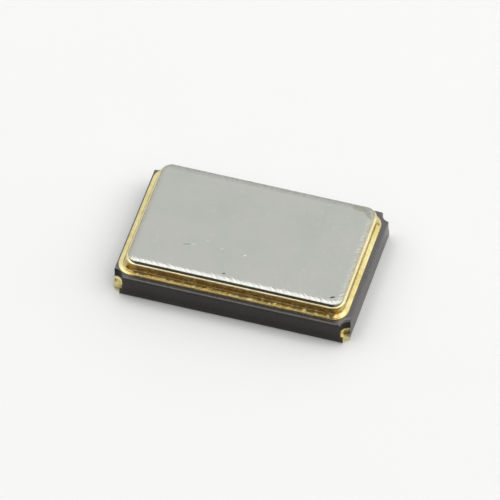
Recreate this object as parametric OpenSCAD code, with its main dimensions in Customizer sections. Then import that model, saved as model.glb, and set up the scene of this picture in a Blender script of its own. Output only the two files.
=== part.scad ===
// Crystal oscillator in a co-fired ceramic package with a seam-welded lid.
// Millimetres, +Z up. The origin is the middle of the underside, at the level of the solder pads.
// X runs along the body, and the side that faces the viewer is -Y.

/* [Ceramic body] */
// Length of the body over its snapped edges
body_l = 5.0; // [4.6:0.05:5.6]
// Width of the body over its snapped edges
body_w = 3.2; // [3.0:0.05:3.8]
// Thickness of the floor layer
floor_t = 0.165; // [0.12:0.005:0.25]
// Thickness of the layer round the chip's pocket
pocket_layer_t = 0.13; // [0.11:0.005:0.2]
// Thickness of the layer that forms the crystal's shelf
shelf_layer_t = 0.12; // [0.1:0.005:0.2]
// Thickness of the frame layer on top
frame_layer_t = 0.105; // [0.08:0.005:0.2]
// Width of the rim round the cavity
rim_w = 0.58; // [0.5:0.01:0.65]
// Corner radius of the cavity
cavity_r = 0.18; // [0.12:0.01:0.24]
// Length of the shelf under the crystal's held end
shelf_l = 0.75; // [0.65:0.01:0.9]
// Length of the ledge under the crystal's free end
ledge_l = 0.4; // [0.34:0.01:0.5]

/* [Corner castellations] */
// Radius of the punched corner holes above the floor layer
hole_r = 0.195; // [0.16:0.005:0.24]
// How much smaller the holes are in the floor layer
hole_step = 0.05; // [0.02:0.01:0.06]
// How far the snapped outline lies off the pattern of holes, towards the left
outline_shift = 0.025; // [0:0.005:0.05]
// Thickness of the plating on the hole walls
plating_t = 0.015; // [0.01:0.005:0.03]
// Width of the buried leads' lands round the holes
land_w = 0.06; // [0.04:0.01:0.1]

/* [Solder pads] */
// Length of each pad along the body
pad_l = 1.25; // [0.9:0.05:1.4]
// Width of each pad across the body
pad_w = 1.0; // [0.8:0.05:1.2]
// How far the pads stay inside the body's edges
pad_inset = 0.05; // [0.03:0.01:0.1]
// Thickness of the pads
pad_t = 0.015; // [0.01:0.005:0.03]

/* [Sealing ring] */
// How far the sealing band stays inside the body's edges
seal_inset = 0.09; // [0.08:0.01:0.14]
// How much further the sealing band reaches towards the body's left edge
seal_lap = 0.06; // [0:0.01:0.08]
// Outer corner radius of the sealing band
seal_r = 0.32; // [0.3:0.01:0.4]
// Thickness of the sealing band
seal_t = 0.015; // [0.01:0.005:0.03]
// How far the sealing band stays back from the cavity
seal_back = 0.03; // [0.02:0.01:0.05]
// How far the ring's wall stands inside the sealing band's edge
ring_inset = 0.095; // [0.07:0.005:0.11]
// Outer corner radius of the ring
ring_r = 0.26; // [0.22:0.01:0.3]
// How far the ring stands back from the cavity
ring_back = 0.08; // [0.06:0.01:0.1]
// Height of the ring
ring_h = 0.227; // [0.15:0.001:0.3]
// Size of the bevel along the ring's top edges
ring_bevel = 0.015; // [0.01:0.005:0.03]
// Thickness of the braze under the ring
braze_t = 0.015; // [0.01:0.005:0.03]
// Height of the braze fillet on the ring's outer wall
fillet_h = 0.07; // [0.05:0.01:0.12]
// Height of the braze fillet on the ring's inner wall
inner_fillet_h = 0.05; // [0.03:0.01:0.08]
// Bare margin of the sealing band beyond the fillets
fillet_margin = 0.012; // [0.008:0.001:0.02]

/* [Lid] */
// Thickness of the lid
lid_t = 0.075; // [0.06:0.005:0.12]
// How far the lid's edge stays inside the ring's wall
lid_inset = 0.05; // [0.03:0.01:0.08]
// Width of the seam-weld track along the lid's margin
track_w = 0.12; // [0.08:0.01:0.14]
// How far the weld track slopes down to the lid's edge
track_drop = 0.015; // [0.01:0.005:0.03]

/* [Crystal] */
// Gap between the crystal's held end and the cavity wall
held_gap = 0.12; // [0.1:0.01:0.16]
// Gap between the crystal's free end and the cavity wall
free_gap = 0.28; // [0.2:0.01:0.3]
// Gap between the crystal's long sides and the cavity walls
side_gap = 0.28; // [0.2:0.01:0.32]
// Thickness of the crystal
crystal_t = 0.06; // [0.04:0.005:0.1]
// Distance of the electrodes from the crystal's ends
electrode_end_gap = 0.77; // [0.6:0.01:1.0]
// Distance of the electrodes from the crystal's long edges
electrode_side_gap = 0.19; // [0.12:0.01:0.3]
// Corner radius of the electrodes
electrode_r = 0.2; // [0.1:0.05:0.3]
// Width of the electrodes' tails
tail_w = 0.22; // [0.15:0.01:0.26]
// Thickness at which the thin films are drawn
film_t = 0.005; // [0.004:0.001:0.008]
// Radius of the adhesive dots
dot_r = 0.15; // [0.13:0.01:0.16]
// Height of the adhesive dots beside the crystal
dot_h = 0.08; // [0.07:0.005:0.1]
// Thickness of the adhesive under the crystal
glue_t = 0.03; // [0.02:0.005:0.04]
// Distance of the dots from the crystal's long edges
dot_side = 0.26; // [0.22:0.01:0.3]
// Distance of the dots from the crystal's held end
dot_in = 0.1; // [0.08:0.01:0.14]
// Margin of the crystal pads round the dots
dot_margin = 0.03; // [0.02:0.005:0.04]
// Width of the rest pad along the body
rest_l = 0.1; // [0.06:0.01:0.12]
// Length of the rest pad across the body
rest_w = 0.8; // [0.5:0.05:1.0]
// Gap between the rest pad and the crystal's free end above it
rest_gap = 0.012; // [0.005:0.001:0.02]

/* [Chip] */
// Length of the chip
chip_l = 1.1; // [0.9:0.05:1.2]
// Share of the cavity's width that the chip's pocket takes
pocket_share = 0.6; // [0.55:0.01:0.65]
// Thickness of the chip
chip_t = 0.1; // [0.08:0.01:0.13]
// Gap between the chip's ends and the pocket's walls
chip_end_gap = 0.3; // [0.2:0.01:0.4]
// Gap between the chip's sides and the pocket's walls
chip_side_gap = 0.2; // [0.15:0.01:0.24]
// Corner radius of the pocket
pocket_r = 0.08; // [0.04:0.01:0.12]
// Thickness of the adhesive under the chip
attach_t = 0.02; // [0.01:0.005:0.03]
// How far that adhesive shows round the chip
attach_margin = 0.04; // [0.02:0.01:0.05]
// How far the plated area under the chip reaches past it
chip_land = 0.1; // [0.06:0.01:0.14]
// Side of the chip's bond pads
chip_pad = 0.09; // [0.07:0.01:0.1]
// Spacing of the chip's bond pads
chip_pad_pitch = 0.38; // [0.25:0.01:0.4]
// Distance of the bond pads' centres from the chip's side
chip_pad_in = 0.09; // [0.06:0.01:0.12]

/* [Leads and wires] */
// Thickness of the printed leads and pads inside
lead_t = 0.01; // [0.006:0.001:0.02]
// Width of the leads
lead_w = 0.12; // [0.1:0.01:0.14]
// Spacing of the bond fingers
finger_pitch = 0.5; // [0.4:0.01:0.6]
// Length of the two short bond fingers
finger_l = 0.25; // [0.2:0.01:0.3]
// How far the fingers stay back from the pocket
finger_back = 0.03; // [0.02:0.01:0.05]
// How far the buried leads stay inside the body's edges
lead_inset = 0.03; // [0.02:0.01:0.05]
// Radius of the vias up to the crystal pads
via_r = 0.04; // [0.03:0.005:0.05]
// Diameter of the bond wires
wire_d = 0.025; // [0.018:0.001:0.03]
// Height of the wire loops above the chip
loop_h = 0.07; // [0.05:0.005:0.09]
// Diameter of the ball bonds
ball_d = 0.064; // [0.05:0.002:0.07]
// Height of the ball bonds
ball_h = 0.022; // [0.015:0.001:0.03]
// Distance of the wedge bonds from the fingers' tips
wedge_in = 0.09; // [0.06:0.01:0.12]
// Length of the wedge bonds
wedge_l = 0.06; // [0.04:0.01:0.08]

/* [Hidden] */
$fn = 48;
// Over-travel of the cuts, so that no cut ends on a face
cut = 0.1;
// Overlap that joins the strips swept round a ring to what they run along
seat = 0.03;

// Levels, from the underside up
ceramic_z = pad_t;
floor_z = ceramic_z + floor_t;
ring_layer_z = floor_z + pocket_layer_t;
shelf_z = ring_layer_z + shelf_layer_t;
rim_z = shelf_z + frame_layer_t;
braze_z = rim_z + seal_t;
ring_z = braze_z + braze_t;
lid_z = ring_z + ring_h;
plating_z = ring_layer_z + lead_t;
chip_z = floor_z + lead_t + attach_t;
chip_top_z = chip_z + chip_t;
crystal_z = shelf_z + lead_t + glue_t + film_t;
crystal_top_z = crystal_z + crystal_t;

// Cavity, pocket and what lies in them
cavity_l = body_l - 2 * rim_w;
cavity_w = body_w - 2 * rim_w;
opening_left = -cavity_l / 2 + shelf_l;
opening_right = cavity_l / 2 - ledge_l;
chip_x = (opening_left + opening_right) / 2;
pocket_l = chip_l + 2 * chip_end_gap;
pocket_w = pocket_share * cavity_w;
chip_w = pocket_w - 2 * chip_side_gap;
crystal_left = -cavity_l / 2 + held_gap;
crystal_right = cavity_l / 2 - free_gap;
crystal_w = cavity_w - 2 * side_gap;
crystal_x = (crystal_left + crystal_right) / 2;
electrode_l = crystal_right - crystal_left - 2 * electrode_end_gap;
electrode_w = crystal_w - 2 * electrode_side_gap;
dot_x = crystal_left + dot_in;
dot_y = crystal_w / 2 - dot_side;
finger_y = pocket_w / 2 + finger_back;
via_y = finger_y + lead_w / 2;
buried_y = (cavity_w + rim_w) / 2;

// Sealing band, ring and lid, each with its outer size and corner radius
seal_l = body_l - 2 * seal_inset;
seal_w = body_w - 2 * seal_inset;
ring_l = seal_l - 2 * ring_inset;
ring_w = seal_w - 2 * ring_inset;
inner_l = cavity_l + 2 * ring_back;
inner_w = cavity_w + 2 * ring_back;
inner_r = cavity_r + ring_back;
lid_l = ring_l - 2 * lid_inset;
lid_w = ring_w - 2 * lid_inset;
lid_r = ring_r - lid_inset;
fillet_w = ring_inset - fillet_margin;
inner_fillet_w = ring_back - seal_back - fillet_margin;

// Corners in pin order, seen from above: near left, near right, far right, far left
corners = [[-1, -1], [1, -1], [1, 1], [-1, 1]];
foot_hole_r = hole_r - hole_step;
// Side of the chip and column of each lead and wire: four go to the corners, two to the crystal
lead_side = [-1, -1, 1, 1, -1, 1];
lead_column = [0, 1, 1, 0, -1, -1];

// Steps round a fillet's quarter arc
fillet_steps = 6;
// Sides of the bond wires, and steps along a loop
wire_sides = 8;
loop_steps = 14;
// Ball bond, as shares of its height and radius from its foot to the wire
ball_form = [[0, 0.82], [0.25, 1], [0.65, 1], [0.9, 0.7]];
// Rise of the loop's first handle, and height and length of its last, as shares of loop_h
loop_rise_ratio = 1.3;
loop_fall_ratio = 0.45;
loop_reach_ratio = 1.8;
// Flattening of the wedge bond, as shares of the wire's radius
wedge_wide_ratio = 1.5;
wedge_flat_ratio = 0.45;

GOLD = "#d8b96a";
CERAMIC = "#2e2a28";
NICKEL = "#bbbcb6";
ADHESIVE = "#b9b6ad";

function unit(v) = v / norm(v);
function hole(i) = [corners[i - 1][0] * body_l / 2 + outline_shift, corners[i - 1][1] * body_w / 2];
function lead_x(i) = chip_x + lead_column[i - 1] * finger_pitch;

// Concave quarter arc of a fillet, from h up the wall to w out along the foot
function fillet_arc(w, h) = [
    for (k = [0:fillet_steps]) let (a = 90 * k / fillet_steps) [w * (1 - cos(a)), h * (1 - sin(a))]
];

// Plain forms

module rounded(l, w, r) {
    square([l - 2 * r, w], center = true);
    square([l, w - 2 * r], center = true);
    for (x = [-1, 1], y = [-1, 1])
        translate([x * (l / 2 - r), y * (w / 2 - r)]) circle(r);
}

module plate(z, t) {
    translate([0, 0, z]) linear_extrude(t) children();
}

module span(x0, x1, y0, y1) {
    translate([min(x0, x1), min(y0, y1)]) square([abs(x1 - x0), abs(y1 - y0)]);
}

// Sweeps a profile, x outwards from the line and y up, round a rounded rectangle
module swept_round(l, w, r) {
    for (turn = [0, 180]) rotate(turn) {
        translate([r - l / 2, w / 2]) rotate([90, 0, 90]) linear_extrude(l - 2 * r) children();
        translate([l / 2, r - w / 2]) rotate([90, 0, 0]) mirror([0, 0, 1])
            linear_extrude(w - 2 * r) children();
        translate([l / 2 - r, w / 2 - r]) rotate_extrude(angle = 90) translate([r, 0]) children();
        translate([r - l / 2, w / 2 - r]) rotate(90) rotate_extrude(angle = 90) translate([r, 0]) children();
    }
}

// Ceramic body

module body_outline() {
    square([body_l, body_w], center = true);
}

module punched_holes(r) {
    for (i = [1:4])
        translate(hole(i)) circle(r);
}

module ceramic_base() {
    color(CERAMIC)
    difference() {
        union() {
            plate(ceramic_z, floor_t) difference() {
                body_outline();
                punched_holes(foot_hole_r);
            }
            plate(floor_z, rim_z - floor_z) difference() {
                body_outline();
                punched_holes(hole_r);
            }
        }
        plate(floor_z, rim_z) translate([chip_x, 0]) rounded(pocket_l, pocket_w, pocket_r);
        plate(ring_layer_z, rim_z) intersection() {
            rounded(cavity_l, cavity_w, cavity_r);
            span(opening_left, opening_right, -body_w, body_w);
        }
        plate(shelf_z, rim_z) rounded(cavity_l, cavity_w, cavity_r);
        for (i = [1:6])
            lead(i);
    }
}

module terminal(i) {
    color(GOLD)
    intersection() {
        plate(0, plating_z) body_outline();
        union() {
            plate(0, pad_t) difference() {
                solder_pad(i);
                translate(hole(i)) circle(foot_hole_r - plating_t);
            }
            translate(hole(i)) rotate_extrude() castellation_wall();
        }
    }
}

module solder_pad(i) {
    x = corners[i - 1][0];
    y = corners[i - 1][1];
    x_edge = body_l / 2 - pad_inset;
    y_edge = body_w / 2 - pad_inset;
    span(x * x_edge, x * (x_edge - pad_l), y * y_edge, y * (y_edge - pad_w));
}

// Plating on the stepped wall of a corner hole, radius along x and height along y
module castellation_wall() {
    span(foot_hole_r - plating_t, foot_hole_r, 0, floor_z + plating_t);
    span(foot_hole_r - plating_t, hole_r, floor_z, floor_z + plating_t);
    span(hole_r - plating_t, hole_r, floor_z, plating_z);
}

// Sealing ring and lid

module seal_metallization() {
    color(GOLD)
    plate(rim_z, seal_t) difference() {
        translate([-seal_lap / 2, 0]) rounded(seal_l + seal_lap, seal_w, seal_r);
        rounded(cavity_l + 2 * seal_back, cavity_w + 2 * seal_back, cavity_r + seal_back);
    }
}

module ring_outline() {
    difference() {
        rounded(ring_l, ring_w, ring_r);
        rounded(inner_l, inner_w, inner_r);
    }
}

module braze_joint() {
    color(GOLD)
    union() {
        plate(braze_z, braze_t) ring_outline();
        translate([0, 0, braze_z]) swept_round(ring_l, ring_w, ring_r)
            fillet_profile(fillet_w, fillet_h);
        translate([0, 0, braze_z]) swept_round(inner_l, inner_w, inner_r)
            mirror([1, 0]) fillet_profile(inner_fillet_w, inner_fillet_h);
    }
}

module fillet_profile(w, h) {
    polygon(concat([[0, braze_t], [-seat, braze_t], [-seat, 0], [0, 0]], [
        for (k = [fillet_steps:-1:0]) fillet_arc(w, h)[k]
    ]));
}

module seam_ring() {
    color(GOLD)
    difference() {
        plate(ring_z, ring_h) ring_outline();
        translate([0, 0, lid_z]) swept_round(ring_l, ring_w, ring_r) bevel_cut();
        translate([0, 0, lid_z]) swept_round(inner_l, inner_w, inner_r) mirror([1, 0]) bevel_cut();
    }
}

module bevel_cut() {
    polygon([[-ring_bevel, 0], [0, -ring_bevel], [seat, -ring_bevel], [seat, seat], [-ring_bevel, seat]]);
}

module lid() {
    edge_t = lid_t - track_drop;
    color(NICKEL)
    union() {
        plate(lid_z, edge_t) rounded(lid_l, lid_w, lid_r);
        plate(lid_z, lid_t) rounded(lid_l - 2 * track_w, lid_w - 2 * track_w, lid_r - track_w);
        translate([0, 0, lid_z]) swept_round(lid_l, lid_w, lid_r)
            polygon([[-track_w, edge_t / 2], [0, edge_t / 2], [0, edge_t], [-track_w, lid_t]]);
    }
}

// Crystal on its shelf

module crystal_blank() {
    color("#dfe8ec", 0.8)
    plate(crystal_z, crystal_t) crystal_outline();
}

module crystal_outline() {
    span(crystal_left, crystal_right, -crystal_w / 2, crystal_w / 2);
}

// Electrode with its tail along one edge to the held end
module electrode_outline(side) {
    translate([crystal_x, 0]) rounded(electrode_l, electrode_w, electrode_r);
    tail_outline(side, crystal_x);
}

module tail_outline(side, x_end) {
    span(crystal_left - film_t, x_end, side * dot_y - tail_w / 2, side * dot_y + tail_w / 2);
}

// The top electrode's tail wraps round the end, down to the adhesive
module top_electrode() {
    color(GOLD)
    union() {
        plate(crystal_top_z, film_t) electrode_outline(1);
        plate(crystal_z - film_t, crystal_t + 2 * film_t) tail_outline(1, crystal_left);
        plate(crystal_z - film_t, film_t) tail_outline(1, dot_x + dot_r);
    }
}

module bottom_electrode() {
    color(GOLD)
    plate(crystal_z - film_t, film_t) intersection() {
        electrode_outline(-1);
        crystal_outline();
    }
}

// Adhesive climbs a little up the crystal's end
module adhesive_dot(i) {
    side = 2 * i - 3;
    dome_r = (dot_r * dot_r + dot_h * dot_h) / (2 * dot_h);
    color(ADHESIVE)
    difference() {
        intersection() {
            translate([dot_x, side * dot_y, shelf_z + lead_t + dot_h - dome_r]) sphere(dome_r);
            plate(shelf_z + lead_t, dot_h) translate([dot_x, side * dot_y]) circle(dot_r + cut);
        }
        plate(crystal_z - film_t, dot_h) span(crystal_left - film_t, crystal_right, -body_w / 2, body_w / 2);
    }
}

module crystal_pad(i) {
    side = 2 * i - 3;
    reach = dot_r + dot_margin;
    color(GOLD)
    plate(shelf_z, lead_t)
        span(dot_x - reach, dot_x + reach, side * (dot_y - reach), side * (via_y + lead_w / 2));
}

module rest_pad() {
    rest_h = crystal_z - shelf_z - rest_gap;
    rest_r = (rest_l * rest_l / 4 + rest_h * rest_h) / (2 * rest_h);
    rest_x = crystal_right - (ledge_l - free_gap) / 2;
    color(GOLD)
    intersection() {
        translate([rest_x, rest_w / 2, shelf_z + rest_h - rest_r]) rotate([90, 0, 0])
            cylinder(rest_w, r = rest_r);
        plate(shelf_z, rest_h) span(rest_x - rest_l, rest_x + rest_l, -rest_w, rest_w);
    }
}

// Chip in its pocket

module chip_outline(margin) {
    translate([chip_x, 0]) square([chip_l + 2 * margin, chip_w + 2 * margin], center = true);
}

module oscillator_chip() {
    color("#4b5468")
    plate(chip_z, chip_t) chip_outline(0);
}

module chip_pads() {
    color("#c8ccd0")
    plate(chip_top_z, film_t)
        for (i = [1:6])
            translate(chip_pad_at(i)) square(chip_pad, center = true);
}

module die_attach() {
    color(ADHESIVE)
    plate(chip_z - attach_t, attach_t) chip_outline(attach_margin);
}

module die_metallization() {
    color(GOLD)
    plate(floor_z, lead_t) chip_outline(chip_land);
}

// Leads printed between the layers

module lead(i) {
    color(GOLD)
    if (i > 4) crystal_lead(i);
    else corner_lead(i);
}

// From a bond finger under the rim to the land round a corner hole
module corner_lead(i) {
    x = corners[i - 1][0];
    y = corners[i - 1][1];
    land_x = hole(i)[0] - x * (hole_r + land_w);
    edge_x = x * (body_l / 2 - lead_inset);
    near_y = buried_y - lead_w / 2;
    plate(ring_layer_z, lead_t) difference() {
        union() {
            span(lead_x(i) - lead_w / 2, lead_x(i) + lead_w / 2, y * finger_y, y * buried_y);
            span(lead_x(i) - x * lead_w / 2, edge_x, y * near_y, y * (near_y + lead_w));
            span(land_x, edge_x, y * near_y, y * (body_w / 2 - lead_inset));
        }
        translate(hole(i)) circle(hole_r);
    }
}

// From a bond finger under the shelf to a via, and up to the crystal pad
module crystal_lead(i) {
    y = lead_side[i - 1];
    plate(ring_layer_z, lead_t) {
        span(lead_x(i) - lead_w / 2, lead_x(i) + lead_w / 2, y * finger_y, y * (finger_y + finger_l));
        span(dot_x - lead_w / 2, lead_x(i), y * finger_y, y * (finger_y + lead_w));
    }
    plate(ring_layer_z, shelf_layer_t) translate([dot_x, y * via_y]) circle(via_r);
}

// Bond wires: a ball on the chip, a loop and a wedge on the finger

function chip_pad_at(i) = [
    chip_x + lead_column[i - 1] * chip_pad_pitch, lead_side[i - 1] * (chip_w / 2 - chip_pad_in)
];
function finger_at(i) = [lead_x(i), lead_side[i - 1] * (finger_y + wedge_in)];

function bezier(p, s) = (1 - s) ^ 3 * p[0] + 3 * (1 - s) ^ 2 * s * p[1]
    + 3 * (1 - s) * s ^ 2 * p[2] + s ^ 3 * p[3];
function bezier_way(p, s) = (1 - s) ^ 2 * (p[1] - p[0]) + 2 * (1 - s) * s * (p[2] - p[1])
    + s ^ 2 * (p[3] - p[2]);

// A station is a point, a direction, and half the width and half the thickness there
function wire_stations(start, end, way) =
    let (
        r = wire_d / 2,
        flat = cos(180 / wire_sides),
        foot = start + [0, 0, ball_h],
        toe = end + [0, 0, r * flat],
        loop = [
            foot,
            foot + [0, 0, loop_rise_ratio * loop_h],
            toe - loop_reach_ratio * loop_h * way + [0, 0, loop_fall_ratio * loop_h],
            toe
        ]
    )
    concat(
        [for (b = ball_form) let (ball_r = b[1] * ball_d / 2)
            [start + [0, 0, b[0] * ball_h], [0, 0, 1], ball_r, ball_r]],
        [for (k = [0:loop_steps]) let (s = k / loop_steps)
            [bezier(loop, s), unit(bezier_way(loop, s)), r, r]],
        [for (k = [1, 2]) let (b = r * wedge_flat_ratio / k)
            [end + k / 2 * wedge_l * way + [0, 0, b * flat], way, r * wedge_wide_ratio, b]]
    );

function station_ring(s, across) =
    let (up = cross(s[1], across))
    [for (k = [0:wire_sides - 1]) let (a = (k + 0.5) * 360 / wire_sides)
        s[0] + s[2] * cos(a) * across + s[3] * sin(a) * up];

module bond_wire(i) {
    start = concat(chip_pad_at(i), chip_top_z + film_t);
    end = concat(finger_at(i), plating_z);
    way = unit([end[0] - start[0], end[1] - start[1], 0]);
    stations = wire_stations(start, end, way);
    last = len(stations) - 1;
    color(GOLD)
    polyhedron(
        points = [for (s = stations) each station_ring(s, [way[1], -way[0], 0])],
        faces = concat(
            [[for (k = [0:wire_sides - 1]) k]],
            [[for (k = [wire_sides - 1:-1:0]) last * wire_sides + k]],
            [for (n = [0:last - 1], k = [0:wire_sides - 1])
                let (a = n * wire_sides, b = a + wire_sides, m = (k + 1) % wire_sides)
                [b + k, b + m, a + m, a + k]]
        )
    );
}

ceramic_base();
seal_metallization();
braze_joint();
seam_ring();
lid();
crystal_blank();
top_electrode();
bottom_electrode();
rest_pad();
oscillator_chip();
chip_pads();
die_attach();
die_metallization();
for (i = [1:2])
    adhesive_dot(i);
for (i = [1:2])
    crystal_pad(i);
for (i = [1:4])
    terminal(i);
for (i = [1:6])
    lead(i);
for (i = [1:6])
    bond_wire(i);
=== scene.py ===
"""Crystal oscillator in a flat ceramic package with a seam-welded nickel lid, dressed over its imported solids.

Shapes are drawn in millimetres and put into metres when a piece is finished.
"""

import math

import bmesh
import bpy
from mathutils import Matrix, Vector, noise


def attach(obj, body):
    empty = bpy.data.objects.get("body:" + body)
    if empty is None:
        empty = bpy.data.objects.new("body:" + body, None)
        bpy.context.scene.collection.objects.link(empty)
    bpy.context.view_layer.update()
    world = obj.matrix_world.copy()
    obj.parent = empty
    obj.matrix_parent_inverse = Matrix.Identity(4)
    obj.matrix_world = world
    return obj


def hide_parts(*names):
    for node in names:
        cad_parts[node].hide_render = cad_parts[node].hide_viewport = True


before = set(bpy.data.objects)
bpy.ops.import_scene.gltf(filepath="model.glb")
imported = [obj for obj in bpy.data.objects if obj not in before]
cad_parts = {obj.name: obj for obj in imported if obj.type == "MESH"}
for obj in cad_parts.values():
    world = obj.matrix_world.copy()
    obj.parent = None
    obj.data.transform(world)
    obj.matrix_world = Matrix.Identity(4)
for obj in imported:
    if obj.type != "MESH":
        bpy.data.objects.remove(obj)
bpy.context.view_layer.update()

MM = 0.001

# Sizes, in millimetres


def heights(name):
    """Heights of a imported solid's foot and top above the circuit board."""
    levels = [corner[2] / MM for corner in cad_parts[name].bound_box]
    return round(min(levels), 4), round(max(levels), 4)


def footprint(name):
    """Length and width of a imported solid."""
    along, across, _ = zip(*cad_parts[name].bound_box)
    return tuple(round((max(places) - min(places)) / MM, 4) for places in (along, across))


def inside(outline, inset, radius):
    """A rounded rectangle inside another outline, or round it where the inset is negative."""
    return round(outline[0] - 2 * inset, 4), round(outline[1] - 2 * inset, 4), radius


# Outlines: length, width and, for all but the body's, corner radius
BODY = footprint("ceramic_base")
BAND = inside(BODY, inset=0.10, radius=0.32)
CAVITY = inside(BODY, inset=0.58, radius=0.18)
BAND_INNER = inside(CAVITY, inset=-0.03, radius=0.21)
RING = (*footprint("seam_ring"), 0.26)
RING_INNER = inside(CAVITY, inset=-0.08, radius=0.26)
LID = inside(RING, inset=0.04, radius=0.22)

# Heights above the circuit board
PAD_TOP, RIM = heights("ceramic_base")
FLOOR_TOP = heights("die_metallization")[0]
FINGER_LEDGE = heights("lead_1")[0]
SHELF = heights("crystal_pad_1")[0]
PLATING_TOP = heights("terminal_1")[1]
BAND_TOP = heights("seal_metallization")[1]
RING_FOOT, LID_FOOT = heights("seam_ring")
LID_TOP = heights("lid")[1]

# How much further the band reaches towards the left
BAND_LAP = 0.07

# Braze fillets against the ring's walls: reach and height, and the share of it that they climb on average
FILLET = (0.083, 0.07)
INNER_FILLET = (0.038, 0.05)
MEAN_CLIMB = 0.94

# Ring's rounded edges, and the depth of the hollow that etching leaves half way up its walls
RING_BEVEL = 0.011
WAIST = 0.012

# How far inside their outlines the outer faces of the band and the ring reach
OUTER_FACE = 0.02

# Weld track along the lid's margin, with the overlapping scales that the weld leaves
TRACK_WIDTH = 0.12
TRACK_DROP = 0.015
SCALE_PITCH = 0.12
RIPPLE_HEIGHT = 0.0006
# How bold the scales are along the lid's ends
END_BOLDNESS = 0.3

# Corner castellations, punched a little off the outline that the body was snapped to
HOLE = 0.195
FOOT_HOLE = 0.145
PUNCH_SHIFT = 0.025
PLATING = 0.015
RAGGED_TOP = 0.012
PAD = (1.25, 1.0)
PAD_INSET = 0.05
CORNERS = {1: (-1, -1), 2: (1, -1), 3: (1, 1), 4: (-1, 1)}
RIGHT_CORNERS = (2, 3)

# Wear along the body's edges, and how many times wider and deeper it is round the right-hand holes
EDGE_WEAR = 0.013
HOLE_WEAR = 3.6
HOLE_DROP = 3.2

# How far down the paler fired skin on top shows, in wears, along the edges and in the holes, where it is a
# painted highlight
SKIN_ON_EDGES = 0.7
SKIN_AND_HIGHLIGHT_IN_HOLES = 2.4

# Cavity's opening between the shelf and the ledge, and the chip's pocket in the middle of it
SHELF_LENGTH = 0.75
LEDGE_LENGTH = 0.40
OPENING = (SHELF_LENGTH - CAVITY[0] / 2, CAVITY[0] / 2 - LEDGE_LENGTH)
CHIP_X = sum(OPENING) / 2
POCKET = (1.70, 0.6 * CAVITY[1])

# Layers of unevenness, each with its height, the size of its features and its seed
PRINT_BLEED = ((0.004, 0.08, 5.0), (0.002, 0.03, 9.0))
BRAZE_CLIMB = ((0.14, 0.16, 14.0), (0.10, 0.05, 18.0))
RING_WAVE = ((0.0016, 0.30, 2.0), (0.0006, 0.09, 6.0))
EDGE_CHIPS = ((0.002, 0.11, 3.0),)

# Brown all along the ring's near wall, partly the stain that brazing has left and partly painted shade, and
# olive painted shade in the near right corner hole
BRAZE_STAIN_AND_SHADE = ("#bc8833", 0.7, 0.10, 0.36, (None, -1.43, 0.66), 0.13, 0.09)
NEAR_HOLE_PAINTED_SHADE = ("#756a33", 0.9, 0.08, 0.30, (2.47, -1.43, 0.22), 0.15, 0.09)

# Spacing of the points along the outlines, and how near to each other points merge
PITCH = 0.016
LID_PITCH = 0.014
BODY_PITCH = 0.0805
CAVITY_PITCH = 0.2
ARC_STEPS = 20
HOLE_STEPS = 96
WELD = 1e-4


# Helpers for shapes


def chain(bm, points):
    """Points joined by edges, as the start of a sweep."""
    verts = [bm.verts.new(p) for p in points]
    return verts + [bm.edges.new(pair) for pair in zip(verts, verts[1:])]


def run(bm, geom, way, pitch):
    """Extrudes a chain along a straight way, in steps of about the pitch."""
    steps = max(1, round(Vector(way).length / pitch))
    step = Vector(way) / steps
    spun = bmesh.ops.spin(bm, geom=geom, cent=(0, 0, 0), axis=(0, 0, 1), dvec=step, angle=0.0, steps=steps)
    return spun["geom_last"]


def sweep_quarter(bm, profile, outline, pitch=PITCH):
    """Sweeps a profile, outwards from an outline and up, round a quarter of a rounded rectangle."""
    length, width, radius = outline
    x, y = length / 2 - radius, width / 2 - radius
    geom = chain(bm, [(length / 2 + out, 0.0, z) for out, z in profile])
    geom = run(bm, geom, (0, y, 0), pitch)
    geom = bmesh.ops.spin(
        bm, geom=geom, cent=(x, y, 0), axis=(0, 0, 1), angle=math.pi / 2, steps=ARC_STEPS
    )["geom_last"]
    run(bm, geom, (-x, 0, 0), pitch)


def mirror_quarters(bm):
    """Mirrors the first quarter to the whole outline."""
    for axis in "XY":
        whole = bm.verts[:] + bm.edges[:] + bm.faces[:]
        bmesh.ops.mirror(bm, geom=whole, matrix=Matrix.Identity(4), merge_dist=WELD, axis=axis)
    bmesh.ops.remove_doubles(bm, verts=bm.verts, dist=WELD)


def open_edges(bm, height):
    """The open edges that lie at a height."""
    return [e for e in bm.edges if e.is_boundary and all(abs(v.co.z - height) < WELD for v in e.verts)]


def level_faces(bm):
    """The faces that lie flat."""
    bm.normal_update()
    return [f for f in bm.faces if abs(f.normal.z) > 0.9]


def depth_inside(x, y, outline):
    """How far a point lies inside a rounded rectangle."""
    length, width, radius = outline
    over_x, over_y = abs(x) - (length / 2 - radius), abs(y) - (width / 2 - radius)
    return radius - math.hypot(max(over_x, 0), max(over_y, 0)) - min(max(over_x, over_y), 0)


def way_round(x, y, outline):
    """How far round a rounded rectangle a point lies, from the middle of its +X side."""
    length, width, radius = outline
    straight_x, straight_y = length / 2 - radius, width / 2 - radius
    quarter = straight_x + straight_y + radius * math.pi / 2
    over_x, over_y = abs(x) - straight_x, abs(y) - straight_y
    if over_x >= 0 and over_y >= 0:
        part = straight_y + radius * math.atan2(over_y, over_x)
    elif over_x > over_y:
        part = abs(y)
    else:
        part = quarter - abs(x)
    turns = {(True, True): (0, 1), (False, True): (2, -1), (False, False): (2, 1), (True, False): (4, -1)}
    quarters, sign = turns[(x >= 0, y >= 0)]
    return quarters * quarter + sign * part


def rough(point, size, seed=0.0):
    """Smooth noise from -1 to 1 with features of a size."""
    return noise.noise(Vector(point) / size + Vector((seed, 2 * seed, -seed)))


def uneven(point, layers):
    """Sum of layers of smooth noise."""
    return sum(height * rough(point, spread, seed) for height, spread, seed in layers)


def wrapped(angle):
    """The same angle, between half a turn back and half a turn on."""
    return math.atan2(math.sin(angle), math.cos(angle))


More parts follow.
